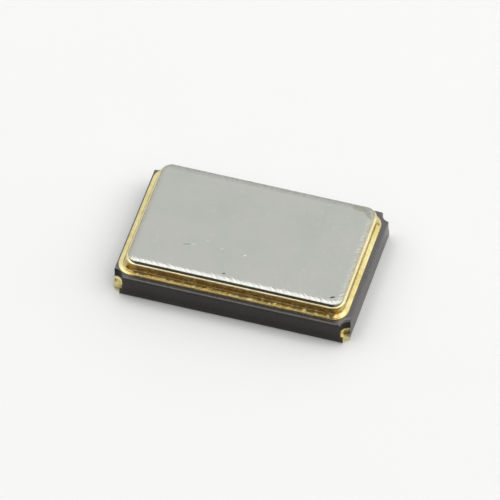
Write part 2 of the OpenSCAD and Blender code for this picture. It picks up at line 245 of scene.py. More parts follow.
def arc(centre, radius, first, turn):
    """Points along an arc that lies flat."""
    x, y = centre
    angles = [first + turn * k / ARC_STEPS for k in range(ARC_STEPS + 1)]
    return [Vector((x + radius * math.cos(angle), y + radius * math.sin(angle))) for angle in angles]


def hole_centre(index):
    """Where a corner hole was punched."""
    sign_x, sign_y = CORNERS[index]
    return sign_x * BODY[0] / 2 + PUNCH_SHIFT, sign_y * BODY[1] / 2


def hole_distance(point, index):
    """How far a point lies from the middle of a corner hole, seen from above."""
    x, y = hole_centre(index)
    return math.hypot(point[0] - x, point[1] - y)


def finish_piece(bm, name, nodes, materials, crease=35.0):
    """Closes the mesh, turns it outwards, puts it into metres and lets it stand for its nodes."""
    bmesh.ops.remove_doubles(bm, verts=bm.verts, dist=WELD / 10)
    bmesh.ops.recalc_face_normals(bm, faces=bm.faces)
    for face in bm.faces:
        face.smooth = True
    for edge in bm.edges:
        edge.smooth = edge.calc_face_angle(0.0) < math.radians(crease)
    bmesh.ops.scale(bm, vec=(MM, MM, MM), verts=bm.verts)
    mesh = bpy.data.meshes.new(name)
    bm.to_mesh(mesh)
    bm.free()
    piece = bpy.data.objects.new(name, mesh)
    bpy.context.scene.collection.objects.link(piece)
    for material in materials:
        mesh.materials.append(material)
    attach(piece, "root")
    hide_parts(*nodes)


# Helpers for materials

# Sockets that go by number, because their names repeat: those of a colour Mix and those of a Map Range
SHARE, FROM, TO, BLEND = 0, 6, 7, 2
LOW, HIGH, LEAST, MOST = 1, 2, 3, 4


def colour(code):
    """A hex sRGB colour as linear light."""
    parts = [int(code[i : i + 2], 16) / 255 for i in (1, 3, 5)]
    return tuple(c / 12.92 if c <= 0.04045 else ((c + 0.055) / 1.055) ** 2.4 for c in parts) + (1.0,)


def per(size):
    """Scale of a texture whose features have a size in millimetres."""
    return 1 / (size * MM)


def blank(name):
    """A new material with no nodes in it."""
    mat = bpy.data.materials.new(name)
    mat.use_nodes = True
    mat.node_tree.nodes.clear()
    return mat


def add(mat, kind, inputs, out=0, **settings):
    """Adds a node with its settings, gives its inputs values or links, and returns one of its outputs."""
    made = mat.node_tree.nodes.new("ShaderNode" + kind)
    for key, value in settings.items():
        setattr(made, key, value)
    for key, value in inputs.items():
        if isinstance(value, bpy.types.NodeSocket):
            mat.node_tree.links.new(value, made.inputs[key])
        else:
            made.inputs[key].default_value = value
    return made.outputs[out] if made.outputs else made


# Materials


# Paler and darker marks on the lid: place, half length, half width, turn in degrees and colour
LID_MARKS = [
    ((-1.186, -0.645), 0.100, 0.014, 17, "#999b96"),
    ((-1.049, -0.605), 0.075, 0.013, 17, "#cbccc7"),
    ((-0.799, -0.446), 0.060, 0.018, 8, "#c7c8c3"),
    ((-0.468, -0.560), 0.055, 0.018, 30, "#c7c8c3"),
    ((0.035, -0.612), 0.026, 0.020, 0, "#eeeeea"),
    ((1.291, -0.635), 0.045, 0.018, 12, "#c6c7c2"),
    ((-0.237, -1.193), 0.040, 0.022, 20, "#626360"),
    ((2.052, -1.186), 0.070, 0.024, 28, "#3b3c39"),
    ((1.93, 1.27), 0.22, 0.09, -6, "#a9aa99"),
    ((2.13, 1.18), 0.19, 0.075, -47, "#a6a79e"),
]


def nickel_plate():
    """Nickel plated on rolled alloy strip: a satin grey that is nearly the same all over, with faint clouds
    and pale flecks from the bath, a fine grain that softens reflections, a few paler and darker marks, and
    what the weld leaves: a straw tint along the short ends, and along the far side a dull grey that is
    partly weld tint and partly painted shade."""
    mat = blank("satin_nickel_plate")
    place = add(mat, "TexCoord", {}, "Object")
    cloud = add(mat, "TexNoise", {"Vector": place, "Scale": per(0.9), "Detail": 3.0, "Roughness": 0.55})
    grain = add(mat, "TexNoise", {"Vector": place, "Scale": per(0.045), "Detail": 3.0, "Roughness": 0.6})
    tone = add(
        mat, "Mix", {SHARE: cloud, FROM: colour("#b5b8b2"), TO: colour("#c1c1bb")}, BLEND, data_type="RGBA"
    )
    for (x, y), length, width, turn, mark in LID_MARKS:
        spot = add(
            mat,
            "Mapping",
            {
                "Vector": place,
                "Location": (x * MM, y * MM, 0),
                "Rotation": (0, 0, math.radians(turn)),
                "Scale": (length * MM, width * MM, 1),
            },
            vector_type="TEXTURE",
        )
        reach = add(mat, "VectorMath", {0: spot}, "Value", operation="LENGTH")
        mask = add(mat, "MapRange", {"Value": reach, LOW: 1.0, HIGH: 0.5}, interpolation_type="SMOOTHSTEP")
        tone = add(mat, "Mix", {SHARE: mask, FROM: tone, TO: colour(mark)}, BLEND, data_type="RGBA")
    fleck = add(mat, "TexNoise", {"Vector": place, "Scale": per(0.06), "Detail": 1.0})
    fleck = add(mat, "MapRange", {"Value": fleck, LOW: 0.66, HIGH: 0.76, MOST: 0.3})
    tone = add(mat, "Mix", {SHARE: fleck, FROM: tone, TO: colour("#d2d3ce")}, BLEND, data_type="RGBA")
    patchy = add(mat, "TexNoise", {"Vector": place, "Scale": per(0.07), "Detail": 3.0})
    patchy = add(mat, "MapRange", {"Value": patchy, LOW: 0.35, HIGH: 0.65, LEAST: 0.3, MOST: 0.9})
    along = add(mat, "SeparateXYZ", {"Vector": place}, "X")
    along = add(mat, "Math", {0: along}, operation="ABSOLUTE")
    across = add(mat, "SeparateXYZ", {"Vector": place}, "Y")
    # Straw weld tint along the short ends; along the far side a dull grey that is partly weld tint and partly
    # painted shade
    for away, edge, depth, tint in (
        (along, LID[0] / 2, 0.10, "#aaa587"),
        (across, LID[1] / 2, 0.15, "#9a9a93"),
    ):
        inner, outer = (edge - depth) * MM, (edge - 0.1 * depth) * MM
        weld_tint_and_shade = add(mat, "MapRange", {"Value": away, LOW: inner, HIGH: outer})
        weld_tint_and_shade = add(mat, "Math", {0: weld_tint_and_shade, 1: patchy}, operation="MULTIPLY")
        tone = add(mat, "Mix", {SHARE: weld_tint_and_shade, FROM: tone, TO: colour(tint)}, BLEND, data_type="RGBA")
    gloss = add(mat, "MapRange", {"Value": cloud, LOW: 0.3, HIGH: 0.7, LEAST: 0.215, MOST: 0.235})
    bump = add(mat, "Bump", {"Strength": 0.35, "Distance": 0.0006 * MM, "Height": grain})
    look = {"Base Color": tone, "Metallic": 1.0, "Roughness": gloss, "Normal": bump}
    add(mat, "OutputMaterial", {"Surface": add(mat, "BsdfPrincipled", look)})
    return mat


def torn_metal(name, dark, pale, gloss):
    """Metal where it was sheared or snapped: duller than its plated face, and torn in short steps."""
    mat = blank(name)
    place = add(mat, "TexCoord", {}, "Object")
    tear = add(mat, "TexNoise", {"Vector": place, "Scale": per(0.05), "Detail": 4.0})
    tone = add(mat, "Mix", {SHARE: tear, FROM: colour(dark), TO: colour(pale)}, BLEND, data_type="RGBA")
    bump = add(mat, "Bump", {"Strength": 0.4, "Distance": 0.002 * MM, "Height": tear})
    look = {"Base Color": tone, "Metallic": 1.0, "Roughness": gloss, "Normal": bump}
    add(mat, "OutputMaterial", {"Surface": add(mat, "BsdfPrincipled", look)})
    return mat


def gold_plate(name, bright, deep, grain_size, gloss, stain_and_shade=None):
    """Gold plated over nickel: a warm satin yellow. Under it the printed tungsten or the etched alloy gives
    a grain, which breaks up the glints, and thin places look deeper. Speckled colour, for stains and for
    painted shade, is given as a colour, a strength, the size and threshold of its specks, and a place with
    the distances from it at which it starts and is full. A place without an X is a wall along the whole side."""
    mat = blank(name)
    place = add(mat, "TexCoord", {}, "Object")
    cloud = add(mat, "TexNoise", {"Vector": place, "Scale": per(0.22), "Detail": 4.0, "Roughness": 0.6})
    grain = add(
        mat, "TexNoise", {"Vector": place, "Scale": per(grain_size), "Detail": 3.0, "Roughness": 0.65}
    )
    depth = add(mat, "MapRange", {"Value": cloud, LOW: 0.35, HIGH: 0.65})
    tone = add(mat, "Mix", {SHARE: depth, FROM: colour(deep), TO: colour(bright)}, BLEND, data_type="RGBA")
    # Speckled colour near a place, which serves for stains and for painted shade
    if stain_and_shade:
        brown, strength, size, low, (x, y, z), outer, inner = stain_and_shade
        speck = add(mat, "TexNoise", {"Vector": place, "Scale": per(size), "Detail": 3.0})
        mask = add(mat, "MapRange", {"Value": speck, LOW: low, HIGH: low + 0.15, MOST: strength})
        away = add(mat, "VectorMath", {0: place, 1: Vector((x or 0, y, z)) * MM}, operation="SUBTRACT")
        axes = (0, 1, 1) if x is None else (1, 1, 1)
        away = add(mat, "VectorMath", {0: away, 1: axes}, operation="MULTIPLY")
        away = add(mat, "VectorMath", {0: away}, "Value", operation="LENGTH")
        near = add(mat, "MapRange", {"Value": away, LOW: outer * MM, HIGH: inner * MM})
        mask = add(mat, "Math", {0: mask, 1: near}, operation="MULTIPLY")
        tone = add(mat, "Mix", {SHARE: mask, FROM: tone, TO: colour(brown)}, BLEND, data_type="RGBA")
    satin = add(
        mat, "MapRange", {"Value": grain, LOW: 0.3, HIGH: 0.7, LEAST: gloss - 0.05, MOST: gloss + 0.07}
    )
    bump = add(mat, "Bump", {"Strength": 0.6, "Distance": 0.0008 * MM, "Height": grain})
    look = {"Base Color": tone, "Metallic": 1.0, "Roughness": satin, "Normal": bump}
    add(mat, "OutputMaterial", {"Surface": add(mat, "BsdfPrincipled", look)})
    return mat


def black_alumina(name, deep, pale, gloss, ior):
    """Black alumina, pressed in sheets and fired: nearly black with a brown cast and matt, with a grain of a
    few microns drawn coarser so that it shows. Its snapped sides have faint lines where the sheets meet, the
    fired skin on top is paler, partly as its own finish and partly as a painted highlight, and the punched
    holes are duller."""
    mat = blank(name)
    place = add(mat, "TexCoord", {}, "Object")
    grain = add(mat, "TexNoise", {"Vector": place, "Scale": per(0.03), "Detail": 3.0, "Roughness": 0.7})
    cloud = add(mat, "TexNoise", {"Vector": place, "Scale": per(0.5), "Detail": 3.0})
    mottle = add(mat, "Math", {0: grain, 1: cloud}, operation="MULTIPLY")
    tint = add(mat, "MapRange", {"Value": mottle, LOW: 0.12, HIGH: 0.38})
    tone = add(mat, "Mix", {SHARE: tint, FROM: colour(deep), TO: colour(pale)}, BLEND, data_type="RGBA")
    height = add(mat, "SeparateXYZ", {"Vector": place}, "Z")
    seams = None
    for level in (FLOOR_TOP, FINGER_LEDGE, SHELF):
        away = add(mat, "Math", {0: height, 1: level * MM}, operation="SUBTRACT")
        away = add(mat, "Math", {0: away}, operation="ABSOLUTE")
        seam = add(mat, "MapRange", {"Value": away, LOW: 0.006 * MM, HIGH: 0.0, MOST: 0.35})
        seams = add(mat, "Math", {0: seams, 1: seam}, operation="MAXIMUM") if seams else seam
    tone = add(mat, "Mix", {SHARE: seams, FROM: tone, TO: colour("#161311")}, BLEND, data_type="RGBA")
    satin = add(
        mat, "MapRange", {"Value": grain, LOW: 0.3, HIGH: 0.7, LEAST: gloss - 0.06, MOST: gloss + 0.06}
    )
    bump = add(mat, "Bump", {"Strength": 0.5, "Distance": 0.002 * MM, "Height": grain})
    look = {"Base Color": tone, "Roughness": satin, "IOR": ior, "Normal": bump}
    add(mat, "OutputMaterial", {"Surface": add(mat, "BsdfPrincipled", look)})
    return mat


def quartz():
    """Lapped quartz: clear and colourless, with a faint frost from the lapping."""
    mat = blank("lapped_quartz")
    place = add(mat, "TexCoord", {}, "Object")
    frost = add(mat, "TexNoise", {"Vector": place, "Scale": per(0.02), "Detail": 2.0})
    gloss = add(mat, "MapRange", {"Value": frost, LOW: 0.3, HIGH: 0.7, LEAST: 0.08, MOST: 0.22})
    bump = add(mat, "Bump", {"Strength": 0.2, "Distance": 0.0003 * MM, "Height": frost})
    look = {
        "Base Color": colour("#e9f1f4"),
        "Roughness": gloss,
        "IOR": 1.54,
        "Transmission Weight": 0.9,
        "Normal": bump,
    }
    add(mat, "OutputMaterial", {"Surface": add(mat, "BsdfPrincipled", look)})
    return mat


def silicon():
    """Polished silicon with its circuit layers: slate grey, with blocks in slightly other tints."""
    mat = blank("silicon_chip")
    place = add(mat, "TexCoord", {}, "Object")
    blocks = add(
        mat,
        "TexVoronoi",
        {"Vector": place, "Scale": per(0.12), "Randomness": 0.7},
        "Color",
        distance="CHEBYCHEV",
    )
    value = add(mat, "SeparateXYZ", {"Vector": blocks}, "X")
    tone = add(
        mat, "Mix", {SHARE: value, FROM: colour("#3d4658"), TO: colour("#626a74")}, BLEND, data_type="RGBA"
    )
    look = {"Base Color": tone, "Metallic": 0.5, "Roughness": 0.18}
    add(mat, "OutputMaterial", {"Surface": add(mat, "BsdfPrincipled", look)})
    return mat


def silver_adhesive():
    """Epoxy filled with silver flakes: a matt pale grey with a sparkle of flakes, drawn at 0.015 mm."""
    mat = blank("silver_filled_epoxy")
    place = add(mat, "TexCoord", {}, "Object")
    flakes = add(mat, "TexVoronoi", {"Vector": place, "Scale": per(0.015)}, "Color")
    value = add(mat, "SeparateXYZ", {"Vector": flakes}, "X")
    tone = add(
        mat, "Mix", {SHARE: value, FROM: colour("#8f8d88"), TO: colour("#cfcdc6")}, BLEND, data_type="RGBA"
    )
    shine = add(mat, "MapRange", {"Value": value, LEAST: 0.2, MOST: 0.9})
    bump = add(mat, "Bump", {"Strength": 0.5, "Distance": 0.002 * MM, "Height": value})
    look = {"Base Color": tone, "Metallic": shine, "Roughness": 0.45, "Normal": bump}
    add(mat, "OutputMaterial", {"Surface": add(mat, "BsdfPrincipled", look)})
    return mat


def bond_aluminium():
    """Sputtered aluminium: a bright silvery film with a very fine grain."""
    mat = blank("sputtered_aluminium")
    place = add(mat, "TexCoord", {}, "Object")
    grain = add(mat, "TexNoise", {"Vector": place, "Scale": per(0.008), "Detail": 2.0})
    tone = add(
        mat, "Mix", {SHARE: grain, FROM: colour("#c4c8cb"), TO: colour("#dde0e2")}, BLEND, data_type="RGBA"
    )
    gloss = add(mat, "MapRange", {"Value": grain, LEAST: 0.2, MOST: 0.35})
    look = {"Base Color": tone, "Metallic": 1.0, "Roughness": gloss}
    add(mat, "OutputMaterial", {"Surface": add(mat, "BsdfPrincipled", look)})
    return mat


NICKEL = nickel_plate()
# The lid's sheared edge: the alloy, drawn darker partly as painted shade for the dark line under the lid's rim
CUT_EDGE_AND_SHADE = torn_metal("sheared_alloy_edge_and_shade", "#605e57", "#827f76", 0.20)
TORN_PLATING = torn_metal("snapped_plating", "#5a4c2c", "#8a7746", 0.45)
# The ring's and the braze's near walls are browned, partly as a brazing stain and partly as painted shade
RING_GOLD = gold_plate("gold_on_etched_ring", "#f0dfae", "#e3cb8c", 0.05, 0.22, BRAZE_STAIN_AND_SHADE)
# A paler gold on the ring's top and rounded top edge: a painted highlight
LEDGE_HIGHLIGHT_GOLD = gold_plate("gold_on_ring_top_painted_highlight", "#f3e8c4", "#e9d9ab", 0.05, 0.19)
BRAZE_GOLD = gold_plate("gold_on_braze", "#e6daa0", "#d3c17c", 0.035, 0.20, BRAZE_STAIN_AND_SHADE)
BAND_GOLD = gold_plate("gold_on_printed_band", "#e9dfaa", "#dacd90", 0.022, 0.30)
# Olive painted shade in patches in the near right corner hole
TERMINAL_GOLD = gold_plate("gold_on_printed_tungsten", "#f3e9bc", "#d2c285", 0.028, 0.30, NEAR_HOLE_PAINTED_SHADE)
FILM_GOLD = gold_plate("evaporated_gold_film", "#f3dc98", "#ecd28a", 0.012, 0.22)
WIRE_GOLD = gold_plate("drawn_gold_wire", "#f4d98c", "#e9c877", 0.01, 0.2)
SNAPPED_ALUMINA = black_alumina("snapped_black_alumina", "#16100d", "#221a16", 0.25, 1.42)
PUNCHED_ALUMINA = black_alumina("punched_black_alumina", "#17120d", "#241c15", 0.5, 1.3)
# Paler fired skin on top, partly its own finish and partly a painted highlight; down the holes it is a painted
# highlight
FIRED_SKIN_AND_HIGHLIGHT = black_alumina("fired_black_alumina_and_painted_highlight", "#292422", "#3a3431", 0.29, 2.0)


# Ceramic body


def notched_outline(inset, hole):
    """The body's outline with its corner holes, anticlockwise from the near side's left end. The edges of the
    right-hand holes are more worn."""
    arcs = []
    for index, (sign_x, sign_y) in CORNERS.items():
        x, y = hole_centre(index)
        reach = hole + inset * (HOLE_WEAR if index in RIGHT_CORNERS else 1.0)
        edge_x = sign_x * (BODY[0] / 2 - inset)
        on_side = (x - sign_x * math.sqrt(reach**2 - inset**2), y - sign_y * inset)
        on_end = (edge_x, y - sign_y * math.sqrt(reach**2 - (edge_x - x) ** 2))
        ends = (on_end, on_side) if index in (1, 3) else (on_side, on_end)
        inwards = math.atan2(-sign_y, -sign_x)
        first, last = (wrapped(math.atan2(py - y, px - x) - inwards) for px, py in ends)
        arcs.append(arc((x, y), reach, inwards + first, last - first))
    points = []
    for index, corner in enumerate(arcs):
        points += corner
        steps = round(BODY[index % 2] / BODY_PITCH)
        follow = arcs[(index + 1) % len(arcs)][0]
        points += [corner[-1].lerp(follow, k / steps) for k in range(1, steps)]
    return points


def body_levels():
    """Inset of the outline, radius of the holes and height, from the body's foot up to its rim."""
    middle = EDGE_WEAR * 0.3
    rim_strip = 0.012
    return [
        (EDGE_WEAR, FOOT_HOLE, PAD_TOP),
        (middle, FOOT_HOLE, PAD_TOP + middle),
        (0.0, FOOT_HOLE, PAD_TOP + EDGE_WEAR),
        (0.0, FOOT_HOLE, FLOOR_TOP),
        (0.0, HOLE, FLOOR_TOP),
        (0.0, HOLE, FINGER_LEDGE),
        (0.0, HOLE, SHELF),
        (0.0, HOLE, RIM - EDGE_WEAR),
        (middle, HOLE, RIM - middle),
        (EDGE_WEAR, HOLE, RIM),
        (EDGE_WEAR + rim_strip, HOLE, RIM),
    ]


def worn_place(x, y, inset, hole, height):
    """Where a point of the outline ends up: lower where the rim of a right-hand hole is worn down, and a
    little inwards where a worn edge is chipped."""
    z = height
    worn_hole = hole + inset * HOLE_WEAR + WELD
    if height > SHELF and any(hole_distance((x, y), index) < worn_hole for index in RIGHT_CORNERS):
        z = RIM - (RIM - height) * HOLE_DROP
    chip = 0.0
    if 0 < inset <= EDGE_WEAR:
        chip = max(0.0, uneven((x, y, height), EDGE_CHIPS))
    return x - math.copysign(chip, x), y - math.copysign(chip, y), z


def body_shell(bm):
    """The outside with its notches and worn edges, closed below and open inside the rim."""
    order = bm.verts.layers.int.new("order")
    edges = []
    for inset, hole, height in body_levels():
        points = notched_outline(inset, hole)
        if not edges:
            verts = [bm.verts.new((p.x, p.y, height)) for p in points]
            for place, vert in enumerate(verts):
                vert[order] = place
            edges = [bm.edges.new(pair) for pair in zip(verts, verts[1:] + verts[:1])]
            bmesh.ops.contextual_create(bm, geom=edges)
            continue
        made = bmesh.ops.extrude_edge_only(bm, edges=edges)["geom"]
        verts = [g for g in made if isinstance(g, bmesh.types.BMVert)]
        fresh = set(verts)
        edges = [g for g in made if isinstance(g, bmesh.types.BMEdge) and fresh.issuperset(g.verts)]
        for vert in verts:
            vert.co = worn_place(*points[vert[order]], inset, hole, height)


def stepped_cavity():
    """The cavity's walls, the crystal's shelf and ledge, and the chip's pocket with its finger ledges."""
    bm = bmesh.new()
    sweep_quarter(bm, [(0.0, RIM), (0.0, SHELF)], CAVITY, CAVITY_PITCH)
    mirror_quarters(bm)
    bmesh.ops.contextual_create(bm, geom=open_edges(bm, SHELF))
    for x in OPENING:
        flat = level_faces(bm)
        geom = set(flat) | {e for f in flat for e in f.edges} | {v for f in flat for v in f.verts}
        bmesh.ops.bisect_plane(bm, geom=list(geom), dist=WELD, plane_co=(x, 0, 0), plane_no=(1, 0, 0))
    middle = min(level_faces(bm), key=lambda face: abs(face.calc_center_median().x - CHIP_X))
    ledge = bmesh.ops.extrude_discrete_faces(bm, faces=[middle])["faces"][0]
    bmesh.ops.translate(bm, vec=(0, 0, FINGER_LEDGE - SHELF), verts=ledge.verts[:])
    # An inset of the ledge, whose corners then move to the pocket's
    bmesh.ops.inset_individual(bm, faces=[ledge], thickness=0.3)
    for vert in ledge.verts:
        out = vert.co.x - CHIP_X
        vert.co.x = CHIP_X + math.copysign(min(abs(out), POCKET[0] / 2), out)
        vert.co.y = math.copysign(min(abs(vert.co.y), POCKET[1] / 2), vert.co.y)
    pocket = bmesh.ops.extrude_discrete_faces(bm, faces=[ledge])["faces"][0]
    bmesh.ops.translate(bm, vec=(0, 0, FLOOR_TOP - FINGER_LEDGE), verts=pocket.verts[:])
    mesh = bpy.data.meshes.new("cavity")
    bm.to_mesh(mesh)
    bm.free()
    return mesh


def ceramic_body():
    """One closed shell: the outside, and the stepped cavity inside. Its rim and worn edges have the paler
    fired skin, partly a painted highlight, which reaches further down in the holes as a painted highlight on
    their rounded rims."""
    bm = bmesh.new()
    body_shell(bm)
    cavity = stepped_cavity()
    bm.from_mesh(cavity)
    bpy.data.meshes.remove(cavity)
    bmesh.ops.triangle_fill(bm, use_beauty=True, use_dissolve=False, edges=open_edges(bm, RIM))
    margin = 0.02
    for face in bm.faces:
        centre = face.calc_center_median()
        in_hole = any(hole_distance(centre, index) < HOLE + margin for index in CORNERS)
        # Paler fired skin on the rim and worn edges, partly a painted highlight, and down the holes' rounded
        # rims as a painted highlight
        if centre.z > RIM - EDGE_WEAR * (SKIN_AND_HIGHLIGHT_IN_HOLES if in_hole else SKIN_ON_EDGES):
            face.material_index = 1
        elif in_hole and centre.z > PLATING_TOP - margin:
            face.material_index = 2
    finishes = [SNAPPED_ALUMINA, FIRED_SKIN_AND_HIGHLIGHT, PUNCHED_ALUMINA]
    finish_piece(bm, "ceramic_body", ["ceramic_base"], finishes)


# Sealing band, braze, ring and lid


def sealing_band():
    """The printed and plated band on the rim, with a soft shoulder and the uneven edge of a screen print. It
    was printed a little towards the left."""
    bm = bmesh.new()
    shoulder = [(0.0, RIM), (0.0, RIM + 0.009), (-0.002, RIM + 0.013), (-0.007, BAND_TOP)]
    sweep_quarter(bm, shoulder, BAND)
    sweep_quarter(bm, [(-out, z) for out, z in shoulder], BAND_INNER)
    mirror_quarters(bm)
    for height in (BAND_TOP, RIM):
        bmesh.ops.bridge_loops(bm, edges=open_edges(bm, height))
    for vert in bm.verts:
        if depth_inside(vert.co.x, vert.co.y, BAND) < OUTER_FACE:
            bleed = uneven(vert.co, PRINT_BLEED)
            vert.co.x *= 1 - abs(bleed) / (BAND[0] / 2)
            vert.co.y *= 1 + bleed / (BAND[1] / 2)
            if vert.co.x < 0:
                vert.co.x -= BAND_LAP
    finish_piece(bm, "sealing_band", ["seal_metallization"], [BAND_GOLD])


def fillet_section(reach, rise, steps=10):
    """A hollow fillet from its thin toe up to the wall, and down inside the wall to the ring's foot."""
    heel, lift = 0.8 * reach, 0.001
    section = [(reach, BAND_TOP), (heel + 0.004, BAND_TOP + 0.8 * lift)]
    for k in range(steps + 1):
        angle = math.pi / 2 * k / steps
        out = heel - (heel + 0.6 * WAIST) * math.sin(angle)
        share = 0.7 * math.sin(angle) + 0.3 * (1 - math.cos(angle))
        section.append((out, BAND_TOP + lift + (rise - lift) * share))
    return section + [(-WAIST, RING_FOOT)]


def braze_fillet():
    """The braze that runs under the ring and climbs its walls to an uneven height."""
    bm = bmesh.new()
    sweep_quarter(bm, fillet_section(*FILLET), RING)
    sweep_quarter(bm, [(-out, z) for out, z in fillet_section(*INNER_FILLET)], RING_INNER)
    mirror_quarters(bm)
    for height in (RING_FOOT, BAND_TOP):
        bmesh.ops.bridge_loops(bm, edges=open_edges(bm, height))
    toe = 0.004
    for vert in bm.verts:
        climb = vert.co.z - BAND_TOP
        if climb > toe and abs(vert.co.z - RING_FOOT) > WELD:
            vert.co.z = BAND_TOP + climb * min(MEAN_CLIMB + uneven(vert.co, BRAZE_CLIMB), 1.0)
    finish_piece(bm, "braze_fillet", ["braze_joint"], [BRAZE_GOLD])


def sealing_ring():
    """The ring, with the rounded edges and slightly wavy walls that etching leaves."""
    bm = bmesh.new()
    rounding = [
        (0.0, RING_FOOT),
        (-WAIST * 0.7, RING_FOOT + 0.05),
        (-WAIST, RING_FOOT + 0.10),
        (-WAIST * 0.5, RING_FOOT + 0.155),
        (-WAIST * 0.04, LID_FOOT - RING_BEVEL - 0.005),
        (0.0, LID_FOOT - RING_BEVEL),
        (-0.002, LID_FOOT - 0.006),
        (-0.006, LID_FOOT - 0.002),
        (-RING_BEVEL, LID_FOOT),
    ]
    sweep_quarter(bm, rounding, RING)
    sweep_quarter(bm, [(-out, z) for out, z in rounding], RING_INNER)
    mirror_quarters(bm)
    for height in (LID_FOOT, RING_FOOT):
        bmesh.ops.bridge_loops(bm, edges=open_edges(bm, height))
    for vert in bm.verts:
        if vert.co.z > RING_FOOT + WELD and depth_inside(vert.co.x, vert.co.y, RING) < OUTER_FACE:
            wave = uneven(vert.co, RING_WAVE)
            vert.co.x *= 1 + wave / 2
            vert.co.y *= 1 + wave
    # Faces along the ring's top take the paler gold, a painted highlight
    for face in bm.faces:
        if face.calc_center_median().z > LID_FOOT - RING_BEVEL:
            face.material_index = 1
    finish_piece(bm, "sealing_ring", ["seam_ring"], [RING_GOLD, LEDGE_HIGHLIGHT_GOLD])


def weld_track(vert):
    """Height of the lid's margin: it rolls off over an uneven, feathered width, in the overlapping scales of
    the seam weld. The scales are bolder along the long sides."""
    depth = depth_inside(vert.co.x, vert.co.y, LID)
    along = way_round(vert.co.x, vert.co.y, LID)
    on_long_side = LID[1] / 2 - abs(vert.co.y) < LID[0] / 2 - abs(vert.co.x)
    bold = 1.0 if on_long_side else END_BOLDNESS
    turns = (along + 0.7 * depth) / SCALE_PITCH + 0.7 * rough(vert.co, 0.25, 11.0)
    tooth = (0.5 - 0.5 * math.cos(2 * math.pi * turns)) ** 2
    feather = rough((along + 0.9 * depth, 0.15 * depth, 0.0), 0.03, 5.0)
    width = TRACK_WIDTH * (1.08 - bold * (0.35 * tooth + 0.5 * feather) + 0.15 * rough(vert.co, 0.12, 1.0))
    if depth >= width:
        return LID_TOP
    share = depth / width
    fall = TRACK_DROP * (1 - share) ** 1.6
    ripple = bold * RIPPLE_HEIGHT * (tooth + 2 * feather) * math.sin(math.pi * share)
    return max(LID_TOP - TRACK_DROP, min(LID_TOP, LID_TOP - fall + ripple))


def nickel_lid():
    """The plain lid with its weld track. Its sheared edge shows the alloy, darker partly as itself and partly
    as painted shade.
    """
    bm = bmesh.new()
    edge_top = LID_TOP - TRACK_DROP
    section = [
        (-0.15, LID_FOOT),
        (-0.009, LID_FOOT),
        (-0.007, LID_FOOT + 0.003),
        (-0.006, LID_FOOT + 0.007),
        (-0.0005, edge_top - 0.007),
        (0.0, edge_top - 0.003),
        (-0.001, edge_top - 0.001),
    ]
    steps = 16
    section += [(-0.003 - (TRACK_WIDTH + 0.027) * k / steps, LID_TOP) for k in range(steps + 1)]
    section += [(-0.155, LID_TOP)]
    sweep_quarter(bm, section, LID, LID_PITCH)
    mirror_quarters(bm)
    for height in (LID_TOP, LID_FOOT):
        bmesh.ops.contextual_create(bm, geom=open_edges(bm, height))
    for vert in bm.verts:
        if vert.co.z > edge_top:
            vert.co.z = weld_track(vert)
    bm.normal_update()
    # The sheared edge takes the darker alloy, partly painted shade
    for face in bm.faces:
        if abs(face.normal.z) < 0.5 and face.calc_center_median().z < edge_top:
            face.material_index = 1
    finish_piece(bm, "nickel_lid", ["lid"], [NICKEL, CUT_EDGE_AND_SHADE], 40.0)


# Corner castellations with their solder pads


def hole_plating(bm, index):
    """Plating on the stepped wall of a corner hole, torn where the body was snapped, with a ragged top."""
    sign_x, sign_y = CORNERS[index]
    x, y = hole_centre(index)
    wall, foot_wall = HOLE - PLATING, FOOT_HOLE - PLATING
    step_top = FLOOR_TOP + PLATING
    soft = 0.004
    section = [
        (FOOT_HOLE, PAD_TOP),
        (foot_wall, PAD_TOP),
        (foot_wall, step_top - soft),
        (foot_wall + soft, step_top),
        (wall - soft, step_top),
        (wall, step_top + soft),
        (wall, PLATING_TOP - 2 * soft),
        (wall + 0.005, PLATING_TOP),
        (HOLE, PLATING_TOP),
        (HOLE, FLOOR_TOP),
        (FOOT_HOLE, FLOOR_TOP),
    ]
    geom = chain(bm, [(x + out, y, z) for out, z in section])
    geom.append(bm.edges.new((geom[len(section) - 1], geom[0])))
    bmesh.ops.spin(
        bm, geom=geom, cent=(x, y, 0), axis=(0, 0, 1), angle=2 * math.pi, steps=HOLE_STEPS, use_merge=True
    )
    edge = (sign_x * BODY[0] / 2, sign_y * BODY[1] / 2, 0)
    for way in ((sign_x, 0, 0), (0, sign_y, 0)):
        whole = bm.verts[:] + bm.edges[:] + bm.faces[:]
        bmesh.ops.bisect_plane(bm, geom=whole, dist=WELD / 10, plane_co=edge, plane_no=way, clear_outer=True)
        torn = [e for e in bm.edges if e.is_boundary]
        for face in bmesh.ops.holes_fill(bm, edges=torn, sides=0)["faces"]:
            face.material_index = 1
    for vert in bm.verts:
        if vert.co.z > PLATING_TOP - 2 * soft - WELD:
            vert.co.z -= RAGGED_TOP * max(0.0, rough(vert.co, 0.07, index))


